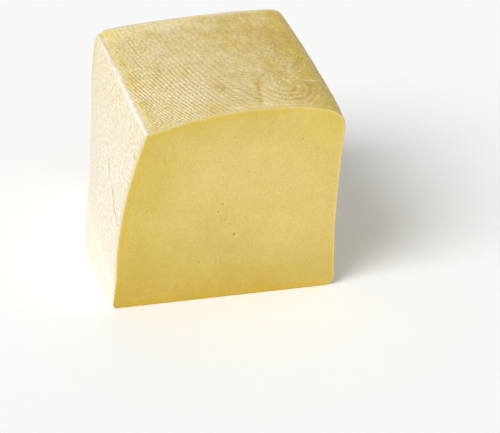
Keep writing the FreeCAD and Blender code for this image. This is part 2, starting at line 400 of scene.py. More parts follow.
# golden, slightly sunken patches, most of them at the back and along the right
for px, py, rx, ry, gain in [(111.9, 131.1, 4.6, 9.0, 0.46), (100.2, 133.8, 3.6, 7.0, 0.34), (127.5, 128.5, 5.5, 9.5, 0.42),
                             (136.6, 113.0, 4.5, 10.0, 0.40), (128.6, 36.0, 4.5, 8.0, 0.48), (42.7, 130.4, 4.0, 7.0, 0.28),
                             (60.8, 146.0, 4.5, 7.0, 0.34), (69.2, 134.0, 3.8, 7.0, 0.28), (45.8, 85.0, 3.0, 7.0, 0.22),
                             (91.2, 14.5, 2.6, 5.0, 0.30), (112.1, 53.0, 3.6, 6.0, 0.36), (102.8, 99.0, 4.0, 7.0, 0.24),
                             (91.5, 108.0, 4.0, 8.0, 0.26), (32.1, 46.0, 3.0, 7.0, 0.18), (130.5, 68.0, 4.5, 8.0, 0.40),
                             (119.0, 17.0, 4.0, 5.0, 0.28), (82.0, 72.0, 3.5, 7.0, 0.20), (64.0, 52.0, 3.0, 6.0, 0.16), (132.0, 77.0, 3.6, 6.0, 0.42),
                             (133.0, 33.0, 4.0, 5.0, 0.34), (124.5, 92.0, 4.0, 7.0, 0.26), (83.0, 11.5, 2.6, 4.0, 0.22)]:
    spot = np.exp(-(((X - px) / rx) ** 2 + ((Y - py) / ry) ** 2)) * on_top
    height = height - 0.16 * spot
    stain = stain + gain * spot * clamp(0.85 + 0.8 * noise(X / 3.0, Y / 5.0, 84), 0.1, 1.5)

# small pale flecks in two places near the right
fleck = smooth(0.22, 0.50, noise(X / 1.5, Y / 3.2, 88)) * on_top
near_rings = np.exp(-((X - 111.0) / 7.5) ** 2 - ((Y - 45.0) / 8.0) ** 2)
near_shoulder = np.exp(-((X - 127.0) / 5.0) ** 2 - ((Y - 60.0) / 8.0) ** 2)
fleck = fleck * (near_rings + near_shoulder)
pale = pale + 0.12 * fleck
height = height + 0.05 * fleck

# ------------------------------------------------------ marks on the left wall
# the mould's seam: a thin raised line that fades out towards the loaf's end
seam_z = 12.4 + 0.110 * Y + 0.15 * noise(Y / 15.0, 3.3, 91)
seam = bell(Z - seam_z, 0.62) * on_left * (1.0 - 0.85 * smooth(50.0, 78.0, Y)) * (1.0 - smooth(90.0, 120.0, Y))
height = height + 0.42 * seam
# the seam's pale line: partly the seam's own paler rind, partly a painted highlight along it
pale = pale + 0.65 * bell(Z - seam_z, 0.85) * on_left * (1.0 - 0.8 * smooth(45.0, 70.0, Y)) * (1.0 - smooth(90.0, 120.0, Y))
height = height - 0.10 * bell(Z - seam_z + 2.0, 1.1) * on_left * (1.0 - smooth(50.0, 80.0, Y))

# folds in the left wall: real relief, with painted shade along each valley and a painted highlight on the ridge beside
# it
wall_fold_shade = np.zeros_like(U)
for a, b, gain in [((53.5, 74.5), (44.5, 66.5), 0.8), ((50.5, 73.0), (43.8, 67.0), 0.5),
                   ((33.5, 65.0), (19.5, 56.5), 1.0), ((19.5, 56.5), (7.0, 50.5), 0.9),
                   ((27.0, 58.0), (14.0, 50.5), 0.6), ((10.0, 95.2), (4.0, 93.8), 0.6),
                   ((96.0, 48.0), (86.0, 41.0), 0.5), ((120.0, 84.0), (110.0, 76.0), 0.4)]:
    side, t = near_line(Y, Z, a, b)
    fold = band(t, 0.35) * on_left * gain
    height = height - 0.42 * fold * bell(side, 0.75) + 0.30 * fold * bell(side + 2.2, 1.1)
    wall_fold_shade = wall_fold_shade + fold * bell(side, 0.75)
    pale = pale + 0.55 * fold * bell(side + 2.2, 1.0)

# --------------------------------------- the raised bead along the sharp edge
bead_d = np.where(U < 0, -U * 0.95, U)
ragged = 1.0 + 0.16 * noise(Y / 5.0, 0.7, 101) + 0.10 * noise(Y / 1.9, 0.2, 102)
stout = 0.62 + 0.46 * bell(Y - 44.0, 44.0) + 0.12 * noise(Y / 7.0, 0.4, 103)
bead = bell(bead_d, 0.95 * stout) * ragged * (1.0 - smooth(V_END - 9.0, V_END - 2.0, V))
nub = bell(bead_d, 1.5) * bell(Y, 2.6)
height = height + 0.40 * bead + 0.34 * nub
# the pale line beside the bead and the nub at the front corner: partly their own paler rind, partly a painted highlight
off_edge = 0.30 + 0.40 * bell(Y - 100.0, 15.0) + 0.45 * noise(Y / 8.0, 0.9, 105) + 0.25 * noise(Y / 2.6, 0.4, 106)
pale = pale + (0.95 + 0.25 * noise(Y / 6.0, 0.9, 104)) * bell(U - off_edge, (1.25 + 0.42 * bell(Y - 100.0, 15.0)) * stout) * (1.0 - 0.55 * smooth(V_END - 60.0, V_END - 4.0, V)) + 0.5 * nub

# the far end of that edge is worn down
height = height - 1.3 * smooth(V_END - 14.0, V_END - 4.0, V) * bell(U, 3.4)
height = height + 0.5 * smooth(V_END - 30.0, V_END - 8.0, V) * bell(U - 13.0, 9.0)
sink = 2.5 * smooth(V_END - 23.0, V_END - 6.0, V) * bell(U + 0.9, 3.1)
# and the top a little flatter towards the end, its right shoulder a little fuller
height = height - 0.8 * smooth(V_END - 60.0, V_END - 8.0, V) * bell(U - 64.0, 30.0) * (U > 0)
height = height + 1.0 * bell(U - U_TOP_END, 11.0) * smooth(0.0, 16.0, V) * (1.0 - 0.5 * smooth(V_END - 6.0, V_END, V))

# ------------------------------------------------------------- colour fields
# ridge: the light tops of the threads, with painted light near the back end and painted shade in the left wall's folds;
# gold: deep yellow, on the top also painted shade towards the right; side: the paler walls
coarser = (1.0 + 0.35 * smooth(60.0, 84.0, V) * (1.0 - smooth(22.0, 36.0, U)) * (1.0 - smooth(140.0, 158.0, V))
           + 0.4 * smooth(82.0, 94.0, U) * smooth(26.0, 44.0, V) * (1.0 - smooth(84.0, 108.0, V)))
calmer = 1.0 - 0.45 * smooth(V_END - 24.0, V_END - 14.0, V) + 0.75 * smooth(V_END - 9.0, V_END - 5.0, V)
ridge = (0.5 + ((0.27 + 0.27 * near_left) * weave + 0.10 * streak + 0.17 * dash + 0.12 * blot
                + (0.22 + 0.12 * near_left) * grain * coarser) * calmer
         # painted light: lighter over the last stretch before the back end, where the top turns down away from the
         # light
         + 0.22 * smooth(V_END - 40.0, V_END - 24.0, V) * (1.0 - smooth(52.0, 68.0, U)) + 0.42 * smooth(V_END - 20.0, V_END - 9.0, V) * smooth(50.0, 66.0, U)
         + 0.22 * bell(U - 3.0, 2.4) * (U > 0) + 0.10 * np.exp(-((U - 79.0) / 9.0) ** 2 - ((V - 30.0) / 22.0) ** 2)
         + 0.16 * (1.0 - smooth(1.8, 4.6, Y)) * smooth(30.0, 56.0, U) + 0.30 * fleck
         + 0.20 * bell(U - 79.0, 20.0) * (1.0 - smooth(7.0, 15.0, V)) + 0.13 * bell(U - 7.2, 2.8) * smooth(88.0, 100.0, V)
         - 0.16 * bell(U - 103.0, 5.0) * bell(V - 108.0, 12.0))
# darker along the wall's folds: painted shade
wall_ridge = 0.5 + 0.45 * (wall_weave - 0.5) * wall_clear + 0.50 * wall_grain - 1.5 * wall_fold_shade
ridge = np.where(on_left, wall_ridge, ridge * (1.0 - on_wall_r) + (0.15 + 0.7 * wall_ridge) * on_wall_r)
ridge = 0.5 + (ridge - 0.5) * (0.15 + 0.85 * fade)
ridge = np.where(on_left, ridge, ridge * (1.0 - on_base) + 0.5 * on_base)

rim = (1.0 - smooth(1.2, 3.4, Y)) * (~on_left) * (1.0 - on_base)    # smooth rind just above the cut
yellow_band = bell(U - 5.2, 3.4) * (U >= 0.6)
# more golden and darker towards the right: partly the rind's own deeper yellow, partly painted shade where the dome
# falls away from the light
gold_top = (0.30 + 0.35 * smooth(30.0, 80.0, U) + 0.35 * smooth(78.0, 112.0, U)
            - 0.04 * (1.0 - smooth(24.0, 46.0, U)) * (1.0 - smooth(50.0, 85.0, V))
            + 0.14 * smooth(4.0, 12.0, U) * (1.0 - smooth(34.0, 52.0, U)) * smooth(60.0, 90.0, V)
            + 0.30 * smooth(104.0, 118.0, U) - 0.16 * smooth(112.0, 122.0, U)
            + 0.32 * layered(U / 12.0, V / 21.0, 111, 3) + 0.42 * yellow_band * (0.35 + 0.65 * smooth(10.0, 36.0, V))
            + 0.22 * np.exp(-((U - 80.0) / 26.0) ** 2 - ((V - 118.0) / 26.0) ** 2)
            + 0.10 * (1.0 - smooth(16.0, 30.0, V)) * (1.0 - smooth(46.0, 64.0, U)) * smooth(6.0, 12.0, U)
            + 0.16 * bell(U - 107.0, 12.0) * (1.0 - smooth(40.0, 60.0, V))
            + 0.10 * np.exp(-((U - 52.0) / 14.0) ** 2 - ((V - 14.0) / 14.0) ** 2)
            + 0.08 * (1.0 - smooth(2.0, 14.0, V)) * (1.0 - smooth(20.0, 50.0, U)) * smooth(6.0, 12.0, U)
            + 0.10 * smooth(V_END - 34.0, V_END - 12.0, V) * (1.0 - smooth(30.0, 60.0, U))
            + 0.10 * bell(U - 10.0, 5.0) * smooth(122.0, 134.0, V) * (1.0 - smooth(146.0, 158.0, V))
            + 0.10 * bell(U - 12.0, 3.5) * smooth(152.0, 160.0, V)
            + 0.16 * bell(U - 82.0, 18.0) * smooth(3.5, 6.5, V) * (1.0 - smooth(9.0, 15.0, V))
            + 0.12 * bell(U - 4.5, 4.0) * bell(V - 62.0, 12.0))
pale = pale + 0.26 * (1.0 - smooth(4.0, 60.0, Z)) * on_left
# painted light: the top paler just before the back end, where it turns down away from the light
pale = pale + 0.12 * smooth(V_END - 18.0, V_END - 8.0, V) * on_top
gold_left = (0.24 * smooth(62.0, 112.0, Z) + 0.16 * smooth(40.0, 150.0, Y) + 0.45 * smooth(150.0, 172.0, Y)
             + 0.07 * layered(Y / 17.0, Z / 19.0, 112, 2) + 0.50 * (1.0 - smooth(0.3, 7.5, Y)) * smooth(0.0, 20.0, Z))
gold_back = 0.34 + 0.14 * layered(U / 15.0, V / 21.0, 113, 3)
past_shoulder = smooth(-4.0, 50.0, U - U_TOP_END)
gold = np.where(on_left, gold_left, gold_top * (1.0 - past_shoulder) + gold_back * past_shoulder)
side_tone = np.where(on_left, 1.0, 0.62 * smooth(1.0, 44.0, U - U_TOP_END))
side_tone = side_tone * (1.0 - on_base) + 0.50 * on_base
gold = gold * (1.0 - on_base) + 0.30 * on_base
round_end = smooth(V_END - 14.0, V_END, V)                          # over to the end face's own tone
side_tone = side_tone * (1.0 - round_end) + 0.45 * round_end
gold = gold * (1.0 - 0.8 * round_end) + 0.34 * 0.8 * round_end
# the painted shade of the wall's folds goes in with the stains
stain = stain + 0.35 * wall_fold_shade
gold = gold + 0.12 * rim * (U > 0)
stain, pale, gold, ridge = clamp(stain), clamp(pale), clamp(gold, 0.0, 1.25), clamp(ridge)

# ------------------------------------------------------------ moved surface
push = ring_normals(ring)
flat_push = push.copy()
flat_push[:, :, 1] = 0.0
flat_push /= np.maximum(np.linalg.norm(flat_push, axis=2, keepdims=True), 1e-12)
near_cut = (1.0 - smooth(0.4, 1.6, Y))[:, :, None]
push = push * (1.0 - near_cut) + flat_push * near_cut
height = np.where(Z < PRESSED_FLAT + 0.02, np.minimum(height, 0.0) * 0.3, height)
ring_out = ring + push * height[:, :, None]
ring_out[:, :, 2] -= sink
ring_out[:, :, 2] = np.maximum(ring_out[:, :, 2], PRESSED_FLAT)


# ----------------------------------------------------------------- end faces
def patch(row, flip):
    """A grid that fills the outline in one row of the ring: rows go up, columns
    go to the right, or to the left if flip, and the rim is the ring's own."""
    loop = row
    left = loop[C_LEFT:C_TOP + 1]
    top = loop[C_TOP:C_RIGHT + 1]
    right = loop[C_RIGHT:C_BASE + 1][::-1]
    bottom = np.concatenate([loop[C_BASE:], loop[:1]])[::-1]
    a, b = 0.5 * (OVER_TOP + UNDER), 0.5 * (UP_LEFT + DOWN_RIGHT)
    a, b = a[None, :, None], b[:, None, None]
    g = ((1 - a) * left[:, None] + a * right[:, None] + (1 - b) * bottom[None] + b * top[None]
         - (1 - a) * (1 - b) * left[0] - a * (1 - b) * right[0] - (1 - a) * b * left[-1] - a * b * right[-1])
    g[:, 0], g[:, -1], g[0], g[-1] = left, right, bottom, top
    return g[:, ::-1] if flip else g


def grid_normals(p):
    du, dv = np.empty_like(p), np.empty_like(p)
    du[:, 1:-1], du[:, 0], du[:, -1] = p[:, 2:] - p[:, :-2], p[:, 1] - p[:, 0], p[:, -1] - p[:, -2]
    dv[1:-1], dv[0], dv[-1] = p[2:] - p[:-2], p[1] - p[0], p[-1] - p[-2]
    n = np.cross(du, dv)
    return n / np.maximum(np.linalg.norm(n, axis=2, keepdims=True), 1e-12)


def rim_distance(g, loop):
    """Distance in the plane from each point of a grid to the outline."""
    pts = g[:, :, [0, 2]].reshape(-1, 2)
    line = loop[:, [0, 2]]
    out = np.empty(len(pts))
    for i in range(0, len(pts), 6000):
        d = pts[i:i + 6000, None] - line[None]
        out[i:i + 6000] = np.sqrt((d * d).sum(2).min(1))
    return out.reshape(g.shape[:2])


# the cut face: almost flat, with small holes and one short scratch
cut = patch(ring_out[0], False)
cx, cz = cut[:, :, 0], cut[:, :, 2]
cut_rim = rim_distance(cut, ring_out[0, ::2])
inside = smooth(0.3, 3.0, cut_rim)
cut_h = 0.11 * layered(cx / 33.0, cz / 30.0, 201, 2) + 0.018 * layered(cx / 4.2, cz / 5.0, 202, 2)
cut_h = cut_h + 0.020 * noise(cx / 60.0 + 0.1 * noise(cx / 20.0, cz / 9.0, 203), cz / 1.7, 204)
pit = np.zeros_like(cx)
pit_rim = np.zeros_like(cx)
HOLES = [(72.7, 40.7, 0.98, 0.66), (65.8, 61.4, 0.60, 0.45), (62.9, 56.4, 0.75, 0.40), (67.6, 51.0, 0.60, 0.40),
         (79.6, 51.1, 0.56, 0.40), (19.8, 61.4, 0.60, 0.35), (51.0, 25.0, 0.66, 0.58), (61.4, 23.8, 0.60, 0.50),
         (103.3, 25.8, 0.50, 0.40), (114.5, 98.3, 0.65, 0.45), (88.9, 81.8, 0.50, 0.32), (75.1, 81.4, 0.42, 0.28),
         (68.6, 92.3, 0.55, 0.32), (103.0, 94.8, 0.45, 0.30), (123.9, 57.6, 0.55, 0.30)]
rng = np.random.default_rng(4417)
for _ in range(70):
    HOLES.append((rng.uniform(8, 132), rng.uniform(6, 114), rng.uniform(0.24, 0.42), rng.uniform(0.08, 0.22)))
# each hole is a real hollow; pit paints shade inside it and pit_rim a highlight round its lip
for hx, hz, hr, hd in HOLES:
    squash_x = 0.78 + 0.20 * math.sin(7.1 * hx)
    d = np.sqrt(((cx - hx) / squash_x) ** 2 + (cz - hz) ** 2) / hr
    bowl = np.exp(-d ** 3 * 0.75)
    cut_h = cut_h - hd * bowl + 0.06 * hd * bell(d - 1.6, 0.5)
    pit = pit + clamp(hd / 0.50, 0.0, 1.0) * np.exp(-((d / 0.90) ** 2))
    pit_rim = pit_rim + 0.55 * clamp(hd / 0.55, 0.0, 1.0) * bell(d - 1.75, 0.55)
# a short scratch: a real hollow with painted shade in it
side, t = near_line(cx, cz, (34.6, 5.8), (38.4, 12.8))
cut_h = cut_h - 0.16 * band(t, 0.4) * bell(side, 0.5) + 0.06 * band(t, 0.4) * bell(side + 1.1, 0.6)
pit = pit + 0.40 * band(t, 0.4) * bell(side, 0.55)
side, t = near_line(cx, cz, (123.5, 64.0), (131.0, 66.6))
cut_h = cut_h + 0.07 * band(t, 0.4) * bell(side, 0.45)
pit_rim = pit_rim + 0.9 * band(t, 0.4) * bell(side, 0.5)
cut = cut.copy()
cut[:, :, 1] = -cut_h * inside

# the loaf's end: the same rind, with the cloth's imprint
end = patch(ring_out[-1], True)
ex, ez = end[:, :, 0], end[:, :, 2]
end_rim = rim_distance(end, ring_out[-1, ::2])
end_in = smooth(0.4, 3.0, end_rim)
end_phase = (ex * 0.94 - ez * 0.34) / 2.75 + 0.6 * noise(ex / 27.0, ez / 29.0, 211) + 0.2 * noise(ex / 9.0, ez / 9.0, 212)
for kx, kz, s, gain in [(58.0, 74.0, 14.0, 1.3), (104.0, 44.0, 15.0, -0.9), (36.0, 34.0, 13.0, 0.7)]:
    end_phase = end_phase + gain * np.exp(-((ex - kx) / s) ** 2 - ((ez - kz) / (1.3 * s)) ** 2)
end_thread = 0.5 + 0.5 * np.cos(2 * math.pi * end_phase)
end_row = 0.5 + 0.5 * np.cos(2 * math.pi * ((ez + 0.36 * ex) / 2.15 + 0.5 * np.round(end_phase)))
end_weave = end_thread * (0.70 + 0.30 * end_row)
end_clear = clamp(0.62 + 0.6 * noise(ex / 19.0, ez / 21.0, 213), 0.15, 1.1)
end_grain = noise(ex / 1.2, ez / 1.3, 214)
end_h = 0.080 * (end_weave - 0.42) * end_clear + 0.024 * end_grain + 0.28 * layered(ex / 38.0, ez / 41.0, 215, 2) * smooth(0.0, 14.0, end_rim)
for (ax, az), (bx, bz), gain in [((70.0, 92.0), (84.0, 80.0), 0.7), ((44.0, 58.0), (52.0, 49.0), 0.5), ((98.0, 66.0), (112.0, 60.0), 0.45)]:
    side, t = near_line(ex, ez, (ax, az), (bx, bz))
    end_h = end_h - 0.26 * gain * band(t, 0.4) * bell(side, 1.0) + 0.14 * gain * band(t, 0.4) * bell(side + 2.0, 1.1)
end = end.copy()
end[:, :, 1] += end_h * end_in

# --------------------------------------------------------------- the normals
ring_n = ring_normals(ring_out)
cut_n, end_n = grid_normals(cut), grid_normals(end)


def rim_of(g, flip):
    """A grid's outer vertices in the ring's order."""
    g = g[:, ::-1] if flip else g
    return np.concatenate([g[:-1, 0], g[-1, :-1], g[::-1, -1][:-1], g[0, ::-1][:-1]])


def set_rim(g, values, flip):
    g = g[:, ::-1] if flip else g
    closed = np.concatenate([values, values[:1]])
    g[:, 0] = closed[C_LEFT:C_TOP + 1]
    g[-1, :] = closed[C_TOP:C_RIGHT + 1]
    g[:, -1] = closed[C_RIGHT:C_BASE + 1][::-1]
    g[0, :] = closed[C_BASE:COLS + 1][::-1]


for row, grid, flip in ((0, cut_n, False), (-1, end_n, True)):
    shared = ring_n[row] + rim_of(grid, flip)
    shared /= np.maximum(np.linalg.norm(shared, axis=1, keepdims=True), 1e-12)
    ring_n[row] = shared
    set_rim(grid, shared, flip)


# ----------------------------------------------------------- mesh assembly
CORE = np.array([CORE_X, 0.5 * DEPTH, CORE_Z])
RIND_IN, PASTE_IN = 0.970, 0.9685      # where the rind ends and the paste starts, as shares from the middle
COARSE_S = np.round(np.linspace(0, NS, 27)).astype(int)
COARSE_T = np.round(np.linspace(0, NT, 30)).astype(int)
COARSE_V = np.round(np.linspace(0, NV, 31)).astype(int)


def shrink(p, share):
    return CORE + (p - CORE) * share


class Build:
    """Collects vertices, faces and their places on the map of one closed mesh."""

    def __init__(self):
        self.points, self.normals, self.fields, self.count = [], [], [], 0
        self.faces = []

    def add(self, p, n, fields=None):
        p = p.reshape(-1, 3)
        first = self.count
        self.points.append(p)
        self.normals.append(n.reshape(-1, 3))
        self.fields.append(fields if fields is not None else {})
        self.count += len(p)
        return first

    def grid(self, index, uv, reverse=False):
        a, b, c, d = index[:-1, :-1], index[:-1, 1:], index[1:, 1:], index[1:, :-1]
        ua, ub, uc, ud = uv[:-1, :-1], uv[:-1, 1:], uv[1:, 1:], uv[1:, :-1]
        order = (a, d, c, b) if reverse else (a, b, c, d)
        uvs = (ua, ud, uc, ub) if reverse else (ua, ub, uc, ud)
        self.faces.append((4, np.stack([x.ravel() for x in order], 1), np.stack([x.reshape(-1, 2) for x in uvs], 1)))

    def zip(self, outer, inner, share_out, share_in, uv_box):
        """Joins an outer line of vertices to an inner one with as many or fewer."""
        (u0, v0), (u1, v1) = uv_box
        i = j = 0
        faces, places = [], []

        def uo(k):
            return (u0 + (u1 - u0) * share_out[k], v0)

        def ui(k):
            return (u0 + (u1 - u0) * share_in[k], v1)

        while i < len(outer) - 1 or j < len(inner) - 1:
            take_outer = j == len(inner) - 1 or (i < len(outer) - 1 and
                                                 share_out[i + 1] <= 0.5 * (share_in[j] + share_in[j + 1]))
            if take_outer:
                faces.append((outer[i + 1], outer[i], inner[j]))
                places.append((uo(i + 1), uo(i), ui(j)))
                i += 1
            else:
                faces.append((outer[i], inner[j], inner[j + 1]))
                places.append((uo(i), ui(j), ui(j + 1)))
                j += 1
        self.faces.append((3, np.array(faces), np.array(places)))


def map_grid(rows, cols, box):
    (u0, v0), (u1, v1) = box
    u = u0 + (u1 - u0) * np.linspace(0, 1, cols)[None, :]
    v = v0 + (v1 - v0) * np.linspace(0, 1, rows)[:, None]
    return np.stack([np.broadcast_to(u, (rows, cols)), np.broadcast_to(v, (rows, cols))], 2)


def loop_sides(index):
    """The four sides of an index grid, all round it, anticlockwise from outside."""
    return [index[0, :], index[:, -1], index[-1, ::-1], index[::-1, 0]]


OUTER_BOX = ((0.008, 0.008), (0.992, 0.932))


def add_rims(build, fine, coarse, fine_shares, coarse_shares, low_v=0.942):
    for k, (o, i, so, si) in enumerate(zip(loop_sides(fine), loop_sides(coarse), fine_shares, coarse_shares)):
        u0 = 0.008 + 0.246 * k
        build.zip(o, i, so, si, ((u0, low_v), (u0 + 0.240, low_v + 0.014)))


def equal(n):
    return np.linspace(0.0, 1.0, n)


def shares_of(index, n):
    return index / n


def slab(p, n, fields, rows_at, cols_at, stride=1):
    """A closed piece of rind: the fine outer grid, mitred rims and a coarse inner side."""
    b = Build()
    m, k = p.shape[0] - 1, p.shape[1] - 1
    if stride == 1:
        first = b.add(p, n, fields)
        index = first + np.arange((m + 1) * (k + 1)).reshape(m + 1, k + 1)
        b.grid(index, map_grid(m + 1, k + 1, OUTER_BOX))
        fine = index
    else:
        # fine along its own rim, coarser inside
        keep_r = np.unique(np.concatenate([[0], np.arange(stride, m - stride + 1, stride), [m]]))
        keep_c = np.unique(np.concatenate([[0], np.arange(stride, k - stride + 1, stride), [k]]))
        use = np.zeros((m + 1, k + 1), bool)
        use[np.ix_(keep_r, keep_c)] = True
        use[0], use[-1], use[:, 0], use[:, -1] = True, True, True, True
        where = np.flatnonzero(use.ravel())
        index = np.full((m + 1) * (k + 1), -1)
        index[where] = np.arange(len(where))
        b.add(p.reshape(-1, 3)[where], n.reshape(-1, 3)[where], {f: v.reshape(-1)[where] for f, v in fields.items()})
        index = index.reshape(m + 1, k + 1)
        uv = map_grid(m + 1, k + 1, OUTER_BOX)
        inner_r, inner_c = keep_r[1:-1], keep_c[1:-1]
        b.grid(index[np.ix_(inner_r, inner_c)], uv[np.ix_(inner_r, inner_c)])
        self_faces = []
        self_uv = []

        def strip(out_cells, in_cells, out_t, in_t):
            i = j = 0
            while i < len(out_cells) - 1 or j < len(in_cells) - 1:
                if j == len(in_cells) - 1 or (i < len(out_cells) - 1 and out_t[i + 1] <= 0.5 * (in_t[j] + in_t[j + 1])):
                    tri = (out_cells[i], out_cells[i + 1], in_cells[j])
                    i += 1
                else:
                    tri = (out_cells[i], in_cells[j + 1], in_cells[j])
                    j += 1
                self_faces.append([index[c] for c in tri])
                self_uv.append([uv[c] for c in tri])

        strip([(0, c) for c in range(k + 1)], [(inner_r[0], c) for c in inner_c], np.arange(k + 1), inner_c)
        strip([(r, k) for r in range(m + 1)], [(r, inner_c[-1]) for r in inner_r], np.arange(m + 1), inner_r)
        strip([(m, c) for c in range(k, -1, -1)], [(inner_r[-1], c) for c in inner_c[::-1]], k - np.arange(k, -1, -1), k - inner_c[::-1])
        strip([(r, 0) for r in range(m, -1, -1)], [(r, inner_c[0]) for r in inner_r[::-1]], m - np.arange(m, -1, -1), m - inner_r[::-1])
        b.faces.append((3, np.array(self_faces), np.array(self_uv)))
        fine = index
    q = shrink(p[np.ix_(rows_at, cols_at)], RIND_IN)
    start = b.add(q, np.broadcast_to(-n[np.ix_(rows_at, cols_at)], q.shape))
    coarse = start + np.arange(len(rows_at) * len(cols_at)).reshape(len(rows_at), len(cols_at))
    b.grid(coarse, map_grid(len(rows_at), len(cols_at), ((0.008, 0.964), (0.992, 0.992))), reverse=True)
    sr, sc = shares_of(rows_at, m), shares_of(cols_at, k)
    fine_shares = [equal(k + 1), equal(m + 1), equal(k + 1), equal(m + 1)]
    coarse_shares = [sc, sr, 1 - sc[::-1], 1 - sr[::-1]]
    add_rims(b, fine, coarse, fine_shares, coarse_shares)
    return b


def paste():
    """The closed piece with the cut face, and the hidden inside under the rind."""
    b = Build()
    m, k = cut.shape[0] - 1, cut.shape[1] - 1
    first = b.add(cut, cut_n, cut_fields)
    index = first + np.arange((m + 1) * (k + 1)).reshape(m + 1, k + 1)
    b.grid(index, map_grid(m + 1, k + 1, OUTER_BOX))
    columns = np.concatenate([COARSE_S[:-1], NS + COARSE_T[:-1], C_RIGHT + COARSE_S[:-1], C_BASE + COARSE_T[:-1]])
    ns, nt = len(COARSE_S) - 1, len(COARSE_T) - 1
    walls = shrink(ring_out[np.ix_(COARSE_V, columns)], PASTE_IN)
    wall_n = ring_n[np.ix_(COARSE_V, columns)]
    start = b.add(walls, wall_n)
    w = start + np.arange(len(COARSE_V) * len(columns)).reshape(len(COARSE_V), len(columns))
    w = np.concatenate([w, w[:, :1]], 1)
    cuts = np.array([0, ns, ns + nt, 2 * ns + nt, 2 * ns + 2 * nt])
    for s in range(4):
        part = w[:, cuts[s]:cuts[s + 1] + 1]
        u0 = 0.008 + 0.197 * s
        b.grid(part, map_grid(part.shape[0], part.shape[1], ((u0, 0.964), (u0 + 0.190, 0.992))))
    # hidden back of the paste: rim shared with the walls, inside worked out afresh
    loop = w[-1, :-1]
    back_grid = np.empty((ns + 1, nt + 1), int)
    closed = np.concatenate([loop, loop[:1]])
    back_grid[:, 0] = closed[0:ns + 1]
    back_grid[-1, :] = closed[ns:ns + nt + 1]
    back_grid[:, -1] = closed[ns + nt:2 * ns + nt + 1][::-1]
    back_grid[0, :] = closed[2 * ns + nt:][::-1]
    plane = end[:, ::-1][np.ix_(COARSE_S, COARSE_T)]
    inner = shrink(plane[1:-1, 1:-1], PASTE_IN)
    start = b.add(inner, np.broadcast_to(np.array([0.0, 1.0, 0.0]), inner.shape))
    back_grid[1:-1, 1:-1] = start + np.arange(inner.shape[0] * inner.shape[1]).reshape(inner.shape[:2])
    b.grid(back_grid, map_grid(ns + 1, nt + 1, ((0.800, 0.964), (0.992, 0.992))), reverse=True)
    # rim between the cut face and those walls
    front_loop = w[0, :-1]
    closed = np.concatenate([front_loop, front_loop[:1]])
    front_grid = np.full((ns + 1, nt + 1), -1)
    front_grid[:, 0] = closed[0:ns + 1]
    front_grid[-1, :] = closed[ns:ns + nt + 1]
    front_grid[:, -1] = closed[ns + nt:2 * ns + nt + 1][::-1]
    front_grid[0, :] = closed[2 * ns + nt:][::-1]
    sr, sc = shares_of(COARSE_S, NS), shares_of(COARSE_T, NT)
    # the walls' own shares run from the other end on the right side and the base
    add_rims(b, index, front_grid,
             [equal(k + 1), equal(m + 1), equal(k + 1), equal(m + 1)],
             [1 - sc[::-1], 1 - sr[::-1], 1 - sc[::-1], 1 - sr[::-1]])
    return b


def finish_mesh(name, b, material):
    points = place(np.concatenate(b.points))
    normals = np.concatenate(b.normals)
    mesh = bpy.data.meshes.new(name)
    mesh.vertices.add(len(points))
    mesh.vertices.foreach_set("co", points.astype(np.float32).ravel())
    loops = np.concatenate([f.ravel() for _, f, _ in b.faces]).astype(np.int32)
    sizes = np.concatenate([np.full(len(f), k) for k, f, _ in b.faces]).astype(np.int32)
    starts = np.concatenate([[0], np.cumsum(sizes)[:-1]]).astype(np.int32)
    mesh.loops.add(len(loops))
    mesh.loops.foreach_set("vertex_index", loops)
    mesh.polygons.add(len(sizes))
    mesh.polygons.foreach_set("loop_start", starts)
    mesh.update(calc_edges=True)
    uv = np.concatenate([u.reshape(-1, 2) for _, _, u in b.faces])
    layer = mesh.uv_layers.new(name="OFBake")
    layer.uv.foreach_set("vector", uv.astype(np.float32).ravel())
    names = sorted({f for fields in b.fields for f in fields})
    for f in names:
        values = np.concatenate([np.asarray(fields[f], float).ravel() if f in fields else np.zeros(len(p))
                                 for fields, p in zip(b.fields, b.points)])
        attribute = mesh.attributes.new(f, "FLOAT", "POINT")
        attribute.data.foreach_set("value", values.astype(np.float32))
    mesh.validate()
    mesh.shade_smooth()
    mesh.normals_split_custom_set_from_vertices([tuple(v) for v in normals])
    mesh.materials.append(material)
    piece = bpy.data.objects.new(name, mesh)
    bpy.context.scene.collection.objects.link(piece)
    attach(piece, "root")
    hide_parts("cheese_block")
    return piece


